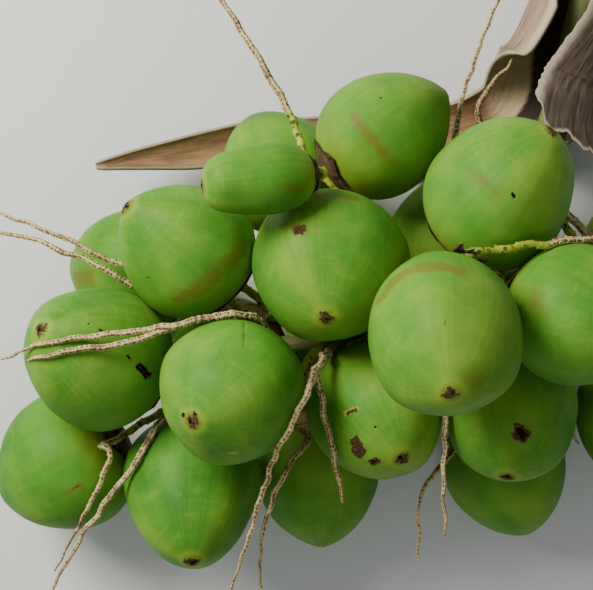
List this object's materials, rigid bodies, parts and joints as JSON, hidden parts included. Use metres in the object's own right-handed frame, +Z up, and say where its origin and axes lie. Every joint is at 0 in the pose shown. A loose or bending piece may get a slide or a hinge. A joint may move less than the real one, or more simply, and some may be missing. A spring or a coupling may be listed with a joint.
{
  "type": "cut bunch of green coconuts",
  "caption": "Cut fruit bunch of a dwarf coconut palm: green coconuts on dry spikelets round a curved stalk, with its woody spathe, lying on the ground.",
  "frame": {"origin": "on the ground, under the middle of the bunch's box", "axes": "+Z up, away from the ground; +Y towards the stalk's cut end; +X across the bunch, along its longest side"},
  "size_m": [0.8942, 0.7736, 0.4427],
  "materials": {
    "rind": "satin, waxy green rind",
    "spikelet": "matt, dry and pitted",
    "stalk": "satin, smooth green",
    "spathe": "matt, dry and fibrous"
  },
  "bodies": {
    "root": {"bare_spikelet_01": "spikelet", "bare_spikelet_02": "spikelet", "coconut_01": "rind", "coconut_02": "rind", "coconut_03": "rind", "coconut_04": "rind", "coconut_05": "rind", "coconut_06": "rind", "coconut_07": "rind", "coconut_08": "rind", "coconut_09": "rind", "coconut_10": "rind", "coconut_11": "rind", "coconut_12": "rind", "coconut_13": "rind", "coconut_14": "rind", "coconut_15": "rind", "coconut_16": "rind", "coconut_17": "rind", "coconut_18": "rind", "coconut_19": "rind", "coconut_20": "rind", "coconut_21": "rind", "coconut_22": "rind", "coconut_23": "rind", "main_stalk": "stalk", "outer_bract": "spathe", "spathe": "spathe", "spikelet_01": "spikelet", "spikelet_02": "spikelet", "spikelet_03": "spikelet", "spikelet_04": "spikelet", "spikelet_05": "spikelet", "spikelet_06": "spikelet", "spikelet_07": "spikelet", "spikelet_08": "spikelet", "spikelet_09": "spikelet", "spikelet_10": "spikelet", "spikelet_11": "spikelet", "spikelet_12": "spikelet", "spikelet_13": "spikelet", "spikelet_14": "spikelet", "spikelet_15": "spikelet", "spikelet_16": "spikelet", "spikelet_17": "spikelet", "spikelet_18": "spikelet", "spikelet_19": "spikelet", "spikelet_20": "spikelet", "spikelet_21": "spikelet", "spikelet_22": "spikelet", "spikelet_23": "spikelet"}
  },
  "joints": []
}
